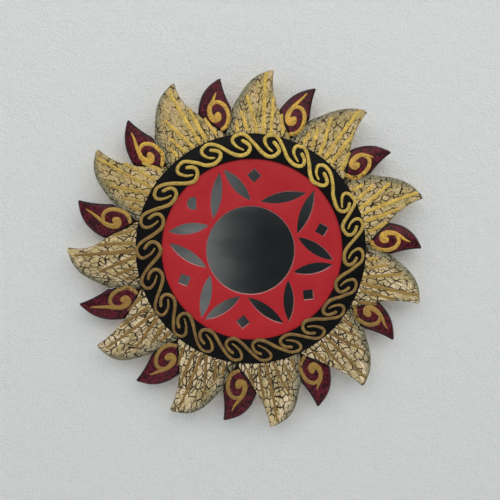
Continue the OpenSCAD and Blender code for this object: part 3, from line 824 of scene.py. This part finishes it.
# One scroll as (degrees clockwise, radius), from hook tip to hook tip
SCROLL = ((8.9, 66.9), (6.3, 68.9), (4.6, 71.6), (4.0, 74.4), (4.7, 76.6), (6.4, 77.9),
          (8.5, 78.2), (10.7, 76.8), (13.1, 73.7), (15.9, 69.8), (18.3, 66.4), (21.1, 63.9),
          (23.8, 62.9), (26.6, 63.6), (28.6, 65.7), (29.1, 68.4), (27.8, 71.2), (25.4, 73.2))
# How many degrees each scroll was drawn anticlockwise of its even place
SCROLL_TURN = (-0.1, 0.9, 0.7, 0.5, 1.7, 2.0, 1.8, 1.8, 1.5, -0.5, -0.2,
               -1.6, -1.8, -1.4, -0.7, -6.0, -2.3, -2.8, -3.1, -1.5, -1.3, 0.6)
# How far out the loops near the rays and near the panel were drawn, in millimetres
OUTER_SHIFT = (0.2, 0, 0, 0.8, 0.8, 1.0, 1.2, 0.8, -0.4, -1.6, 0,
               1.8, 2.2, 0.9, -1.3, 1.2, 1.4, -0.2, -0.4, -0.2, 0.3, 0)
INNER_SHIFT = (0.5, 0.6, 0.9, 0.5, 1.3, 2.2, 0.4, 1.3, 1.1, -0.9, 2.1,
               2.6, 2.7, 2.8, 0.6, 3.0, 2.0, 1.4, 0, 1.3, -0.5, 1.6)
SCROLL_STEP = 360 / SCROLLS
UPPER_LOOP = 7.8
INNER_LOOP_R, OUTER_LOOP_R = 62.9, 78.2
# Scrolls below the middle lean by so many degrees, from the first radius in to the second
SCROLL_LEAN, LEAN_FROM_R, LEAN_TO_R = 2.4, 77, 63
# Half width of a scroll, its share at the thin inner tip, and how much each knot widens it
SCROLL_HALF_W, TIP_SHARE, TIP_WIDENS = 1.3, 0.5, 0.17
# Scrolls are thicker at the top of the band by so many millimetres, and by so much more for each
# millimetre that they lie inside the middle radius
THICKER_ABOVE, THICKER_INWARDS, SCROLL_MID_R = 0.1, 0.012, 70
# How far a scroll's points stray, in degrees and in millimetres, and how much its width varies
TURN_STRAY, RADIUS_STRAY, SCROLL_WIDTHS = 0.15, 0.12, (0.95, 1.06)
# The band's width, and how far its opening lies off the middle
BAND_W = 17
LIP_SHIFT = Vector((0.7, -0.3))


def drawn_off(values, k, turn):
    """How far scroll k was drawn off its place, gliding from its own value to the next one's."""
    share = (turn - UPPER_LOOP) / SCROLL_STEP
    first = k + math.floor(share)
    a, b = values[first % SCROLLS], values[(first + 1) % SCROLLS]
    return a + (b - a) * (share - math.floor(share))


scrolls = []
for k in range(SCROLLS):
    stroke = []
    for n, (turn, radius) in enumerate(SCROLL):
        angle = SCROLL_START - turn - k * SCROLL_STEP + drawn_off(SCROLL_TURN, k, turn)
        outer, inner = drawn_off(OUTER_SHIFT, k, turn), drawn_off(INNER_SHIFT, k, turn)
        shift = inner + (outer - inner) * (radius - INNER_LOOP_R) / (OUTER_LOOP_R - INNER_LOOP_R)
        lean = SCROLL_LEAN * max(0.0, -math.sin(math.radians(angle)))
        lean *= (LEAN_FROM_R - radius) / (LEAN_FROM_R - LEAN_TO_R)
        angle += dice.uniform(-TURN_STRAY, TURN_STRAY) - lean
        lip_r = BAND_R - BAND_W + LIP_SHIFT.dot(polar(angle, 1))
        radius = BAND_R + (radius - BAND_R) * (BAND_R - lip_r) / BAND_W
        radius += dice.uniform(-RADIUS_STRAY, RADIUS_STRAY)
        radius += shift
        thicker = THICKER_ABOVE * math.sin(math.radians(angle))
        thicker += THICKER_INWARDS * (SCROLL_MID_R - radius)
        half = SCROLL_HALF_W * dice.uniform(*SCROLL_WIDTHS) + thicker
        stroke.append((polar(angle, radius), half * min(1.0, TIP_SHARE + TIP_WIDENS * n)))
    scrolls.append(stroke)
lay_paint("band_scrolls", scrolls, height=0.55, names=("black_band", "red_panel", *carved),
          level=FRONT["band_ring"])

# Strokes on a gold ray as (to the side of the tip line, radius), each wide at the band
RAY_STROKES = (
    ((0.8, 81.6), (2.2, 95), (3.3, 108), (3.9, 122)),
    ((5.5, 81.2), (9.6, 92), (15.2, 105)),
    ((12.4, 82), (15.4, 88.5), (17.6, 93.5)),
    ((18.7, 80.9), (19.6, 84), (20.2, 87)),
    ((-4.5, 82.6), (-4.0, 95), (-3.3, 105.5)),
    ((-12.6, 83.6), (-11.2, 90), (-10.1, 95)),
)
# Half width of a stroke, the share it loses towards its tip, and the share it loses low down
STROKE_HALF_W, STROKE_TAPER, THINNER_BELOW = 1.65, 0.3, 0.2
# How far a stroke's start, and any of its points, may stray, and how much its width varies
START_STRAY, STRAY, STROKE_WIDTHS = 0.5, 0.2, (0.85, 1.1)
strokes = []
for i in range(PAIRS):
    for line in RAY_STROKES:
        stroke = []
        wobble = dice.uniform(-START_STRAY, START_STRAY)
        for n, (side, radius) in enumerate(line):
            share = n / (len(line) - 1)
            half = STROKE_HALF_W * (1 - STROKE_TAPER * share ** 2) * dice.uniform(*STROKE_WIDTHS)
            half *= 1 - THINNER_BELOW * max(0.0, -math.sin(math.radians(gold_angle(i))))
            side += wobble * (1 - share) + dice.uniform(-STRAY, STRAY)
            stroke.append((from_ray(gold_angle(i), side, radius), half))
        strokes.append(drawn_finely(stroke, spacing=1.6, tremble=0.16))
lay_paint("ray_strokes", strokes, height=0.14, names=carved, rich=0.12)

# A spiral on a burgundy ray as (to the side of the tip line, radius, half width)
SPIRAL_TAIL = ((4.1, 114.6, 0.4), (5.5, 111.0, 0.9), (7.6, 106.5, 1.35), (9.8, 102.0, 1.7),
               (10.7, 98.0, 1.9), (10.0, 94.5, 2.2), (8.0, 92.5, 2.6), (6.2, 93.4, 3.0),
               (5.8, 94.7, 2.6))
SPIRAL_ARC = ((8.3, 103.0, 1.2), (5.0, 104.3, 1.5), (1.5, 102.6, 1.6), (-0.9, 98.8, 1.6),
              (-1.6, 94.7, 1.55), (-0.9, 90.0, 1.5), (1.5, 86.6, 1.45), (4.3, 84.9, 1.4))
# How far out the tail of each ray's spiral is drawn, in millimetres
SPIRAL_REACH = (-4.3, 0.9, -7.4, -2.8, -2.8, -5.8, -1.2, -2.4, 4.2, 1.7, 0.5)
# The tail is stretched from this radius outwards, by its full reach after so many millimetres
TAIL_R, TAIL_RUN = 103, 12
tails, arcs = [], []
for i in range(PAIRS):
    for line, drawn in ((SPIRAL_TAIL, tails), (SPIRAL_ARC, arcs)):
        stroke = []
        for side, radius, half in line:
            out = max(0.0, (radius - TAIL_R) / TAIL_RUN) if line is SPIRAL_TAIL else 0.0
            radius += BELLY_EXTRA[i] / 2 + out * SPIRAL_REACH[i] + dice.uniform(-STRAY, STRAY)
            side += dice.uniform(-STRAY, STRAY)
            stroke.append((from_ray(burgundy_angle(i), side, radius), half))
        drawn.append(stroke)
lay_paint("ray_spirals", tails, height=0.35, names=carved, rich=0.36)
lay_paint("ray_arcs", arcs, height=0.3, names=carved, rich=0.26)

# The room: a pale plaster wall behind the mirror, a pale floor well below it, soft lamps above
# and in front, one behind for the mirror's back, and the camera straight in front.
WALL_Y = 0.3 * MM
FLOOR_Z = -0.9
CLEAR_WITHIN = 10.5 * MM


def stage_sheet(name, corners):
    mesh = bmesh.new()
    mesh.faces.new([mesh.verts.new(corner) for corner in corners])
    data = bpy.data.meshes.new(name)
    mesh.to_mesh(data)
    sheet = bpy.data.objects.new(name, data)
    bpy.context.scene.collection.objects.link(sheet)
    return sheet


wall = stage_sheet("wall", ((-2, WALL_Y, FLOOR_Z), (2, WALL_Y, FLOOR_Z),
                            (2, WALL_Y, 2), (-2, WALL_Y, 2)))
floor = stage_sheet("floor", ((-3, -3, FLOOR_Z), (3, -3, FLOOR_Z),
                              (3, 3, FLOOR_Z), (-3, 3, FLOOR_Z)))
plaster, tree, shader, place = start_material("plaster")
grains = cloudy(tree, place, 0.75, 5.0, 0.7)
lumps = maths(tree, "MULTIPLY", cloudy(tree, place, 0.12, 3.0), 0.7)
feed(tree, shader.inputs["Base Color"],
     mix_colours(tree, soft_step(tree, grains, 0.35, 0.65), (0.955, 0.98, 0.97), (1.0, 1.0, 1.0)))
shader.inputs["Roughness"].default_value = 0.8
relief(tree, shader, maths(tree, "ADD", grains, lumps), 1.5 * MM)
# The wall is clear from behind, and for rays that start close in front of it, so that the
# mirror's back is seen and lit
open_back = add_node(tree, "MixShader")
clear = add_node(tree, "BsdfTransparent")
near = maths(tree, "LESS_THAN", add_node(tree, "LightPath").outputs["Ray Length"], CLEAR_WITHIN)
feed(tree, open_back.inputs[0],
     maths(tree, "MAXIMUM", add_node(tree, "NewGeometry").outputs["Backfacing"], near))
feed(tree, open_back.inputs[1], shader.outputs[0])
feed(tree, open_back.inputs[2], clear.outputs[0])
feed(tree, tree.nodes["Material Output"].inputs["Surface"], open_back.outputs[0])
give_material(wall, plaster)
pale, tree, shader, place = start_material("pale_floor")
feed(tree, shader.inputs["Base Color"],
     mix_lights(tree, cloudy(tree, place, 0.01, 3.0), (0.75, 0.75, 0.74), (0.70, 0.70, 0.69)))
shader.inputs["Roughness"].default_value = 0.7
give_material(floor, pale)

world = bpy.data.worlds.new("studio")
bpy.context.scene.world = world
world.use_nodes = True
tree = world.node_tree
sky = tree.nodes["Background"]
around = add_node(tree, "TexCoord").outputs["Generated"]
way = add_node(tree, "SeparateXYZ", {"Vector": around}).outputs
rays = add_node(tree, "LightPath").outputs
# What the mirror reflects: a dark room, paler to the left and greyer above, with soft shapes
to_right = soft_step(tree, way["X"], -0.14, 0.05)
studio = mix_lights(tree, to_right, (0.36, 0.36, 0.36), (0.03, 0.032, 0.035))
to_top = soft_step(tree, way["Z"], 0.0, 0.16, 0.0, 0.6)
studio = mix_lights(tree, to_top, studio, (0.22, 0.225, 0.23))
shapes = cloudy(tree, stretched(tree, around, 1.0, 1.0, 2.0), 9.0, 1.5, 0.4)
shapes = soft_step(tree, shapes, 0.36, 0.62, 0.0, 0.6)
studio = mix_lights(tree, shapes, studio, (0.04, 0.043, 0.047))
light = mix_lights(tree, rays["Is Glossy Ray"], (0.75, 0.77, 0.80), studio)
light = mix_lights(tree, rays["Is Camera Ray"], light, (0.85, 0.86, 0.87))
feed(tree, sky.inputs["Color"], light)
sky.inputs["Strength"].default_value = 0.6


def soft_lamp(name, place, size, watts, colour=(1.0, 1.0, 1.0)):
    """A lamp of a width and height in metres that looks at the middle of the mirror."""
    lamp = bpy.data.lights.new(name, "AREA")
    lamp.shape = "RECTANGLE"
    lamp.size, lamp.size_y = size
    lamp.energy = watts
    lamp.color = colour
    stand = bpy.data.objects.new(name, lamp)
    stand.location = place
    stand.rotation_euler = (-Vector(place)).to_track_quat("-Z", "Y").to_euler()
    bpy.context.scene.collection.objects.link(stand)


soft_lamp("window_light", (0.65, -1.2, 1.05), (2.0, 1.4), watts=11.5, colour=(1.0, 0.97, 0.93))
soft_lamp("side_light", (-0.9, -1.2, 1.15), (1.6, 1.0), watts=7.8)
soft_lamp("back_light", (-0.35, 1.5, 0.45), (0.8, 0.8), watts=17)

CAMERA_PLACE = Vector((-0.005, -0.3635, 0.0075))
LOOKS_AT = Vector((-0.0008, -0.0155, -0.0006))
camera_data = bpy.data.cameras.new("camera")
camera_data.sensor_width = 36
camera_data.lens = 36.1
camera_data.clip_start = 0.01
camera = bpy.data.objects.new("camera", camera_data)
camera.location = CAMERA_PLACE
camera.rotation_euler = (LOOKS_AT - CAMERA_PLACE).to_track_quat("-Z", "Y").to_euler()
bpy.context.scene.collection.objects.link(camera)
bpy.context.scene.camera = camera
bpy.context.scene.view_settings.view_transform = "Standard"
